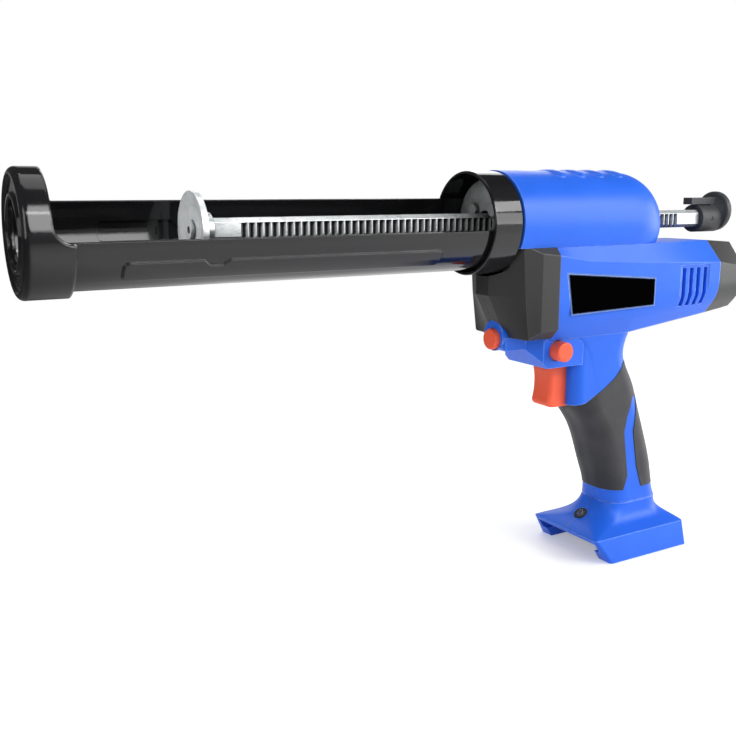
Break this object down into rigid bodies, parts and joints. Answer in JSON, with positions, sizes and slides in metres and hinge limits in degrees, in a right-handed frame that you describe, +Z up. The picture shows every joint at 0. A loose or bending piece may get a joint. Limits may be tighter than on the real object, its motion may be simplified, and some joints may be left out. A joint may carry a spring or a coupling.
{
  "type": "cordless caulking gun",
  "caption": "Cordless caulking gun: open turning cradle for a sealant cartridge, rack push rod driven by a geared motor, pistol grip with trigger and a slide-on battery foot.",
  "frame": {"origin": "centre of the nozzle hole, on the front face of the front cap", "axes": "+X along the barrel from the nose to the motor, +Z up, -Y to the tool's left side"},
  "size_m": [0.452, 0.0664, 0.2428],
  "materials": {
    "black_paint": "gloss",
    "zinc_plate": "bright zinc plate",
    "black_plastic": "satin",
    "gear_steel": "machined",
    "motor_steel": "drawn",
    "case_alloy": "cast",
    "bearing_bronze": "sintered",
    "blue_plastic": "satin",
    "grey_soft": "soft touch",
    "grey_plastic": "satin",
    "orange_plastic": "satin",
    "label_black": "gloss",
    "lamp_ring": "satin",
    "lamp_clear": "clear",
    "board_green": "lacquered"
  },
  "bodies": {
    "housing": {"retaining_plate": "zinc_plate", "plate_screws": "zinc_plate", "housing_screws": "zinc_plate", "motor_end_cap": "black_plastic", "trigger_switch": "black_plastic", "terminal_block": "black_plastic", "ring_gear": "gear_steel", "motor_can": "motor_steel", "gear_case": "case_alloy", "drive_bushes": "bearing_bronze", "lay_bushes": "bearing_bronze", "output_bush": "bearing_bronze", "contact_blades": "bearing_bronze", "gear_cover": "blue_plastic", "left_shell": "blue_plastic", "right_shell": "blue_plastic", "left_grip": "grey_soft", "right_grip": "grey_soft", "left_rear_pad": "grey_soft", "right_rear_pad": "grey_soft", "left_guard": "grey_plastic", "right_guard": "grey_plastic", "rear_cap": "grey_plastic", "label_plate": "label_black", "lamp_bezel": "lamp_ring", "lamp_lens": "lamp_clear", "control_board": "board_green"},
    "barrel": {"front_cap": "black_paint", "cartridge_cradle": "black_paint", "rear_collar": "black_paint"},
    "push_rod": {"rack_rod": "zinc_plate", "pusher_disc": "zinc_plate", "backing_disc": "zinc_plate", "pusher_bolt": "zinc_plate", "pull_knob": "black_plastic", "knob_pin": "black_paint"},
    "drive": {"drive_shaft": "gear_steel", "rack_pinion": "gear_steel", "drive_gear": "gear_steel"},
    "lay": {"lay_shaft": "gear_steel", "lay_pinion": "gear_steel", "bevel_gear": "gear_steel"},
    "output": {"bevel_pinion": "gear_steel", "planet_carrier": "gear_steel"},
    "planet_1": {"planet_gear_1": "gear_steel"},
    "planet_2": {"planet_gear_2": "gear_steel"},
    "planet_3": {"planet_gear_3": "gear_steel"},
    "rotor": {"motor_shaft": "gear_steel", "sun_gear": "gear_steel"},
    "trigger": {"trigger": "orange_plastic", "switch_plunger": "black_plastic"},
    "direction": {"direction_button": "orange_plastic"},
    "release": {"release_button": "orange_plastic"}
  },
  "joints": [
    {"name": "barrel_spin", "type": "hinge", "parent": "housing", "child": "barrel", "pos_m": [0, 0, 0], "axis": [1, 0, 0], "continuous": true},
    {"name": "rod_slide", "type": "slide", "parent": "housing", "child": "push_rod", "axis": [-1, 0, 0], "range_m": [-0.16, 0.03]},
    {"name": "drive_spin", "type": "hinge", "parent": "housing", "child": "drive", "pos_m": [0.277, -0.012, 0], "axis": [0, 0, 1], "continuous": true},
    {"name": "lay_spin", "type": "hinge", "parent": "housing", "child": "lay", "pos_m": [0.28758, 0, 0], "axis": [0, 0, 1], "continuous": true},
    {"name": "output_spin", "type": "hinge", "parent": "housing", "child": "output", "pos_m": [0.28758, 0, -0.041], "axis": [1, 0, 0], "continuous": true},
    {"name": "planet_1_spin", "type": "hinge", "parent": "output", "child": "planet_1", "pos_m": [0.315, 0, -0.0305], "axis": [1, 0, 0], "continuous": true},
    {"name": "planet_2_spin", "type": "hinge", "parent": "output", "child": "planet_2", "pos_m": [0.315, -0.00909, -0.04625], "axis": [1, 0, 0], "continuous": true},
    {"name": "planet_3_spin", "type": "hinge", "parent": "output", "child": "planet_3", "pos_m": [0.315, 0.00909, -0.04625], "axis": [1, 0, 0], "continuous": true},
    {"name": "rotor_spin", "type": "hinge", "parent": "housing", "child": "rotor", "pos_m": [0.33, 0, -0.041], "axis": [1, 0, 0], "continuous": true},
    {"name": "trigger_pull", "type": "slide", "parent": "housing", "child": "trigger", "axis": [1, 0, 0], "range_m": [0, 0.007], "stiffness_N_per_m": 600, "springref_m": -0.003},
    {"name": "direction_push", "type": "slide", "parent": "housing", "child": "direction", "axis": [0, 1, 0], "range_m": [0, 0.008]},
    {"name": "release_push", "type": "slide", "parent": "housing", "child": "release", "axis": [1, 0, 0], "range_m": [0, 0.004], "stiffness_N_per_m": 800, "springref_m": -0.002}
  ],
  "couplings": [
    {"joint": "drive_spin", "follows": "rod_slide", "rad_per_m": 128.21},
    {"joint": "lay_spin", "follows": "rod_slide", "rad_per_m": -238.1},
    {"joint": "output_spin", "follows": "rod_slide", "rad_per_m": 297.62},
    {"joint": "planet_1_spin", "follows": "rod_slide", "rad_per_m": -793.65},
    {"joint": "planet_2_spin", "follows": "rod_slide", "rad_per_m": -793.65},
    {"joint": "planet_3_spin", "follows": "rod_slide", "rad_per_m": -793.65},
    {"joint": "rotor_spin", "follows": "rod_slide", "rad_per_m": 1488.1}
  ]
}
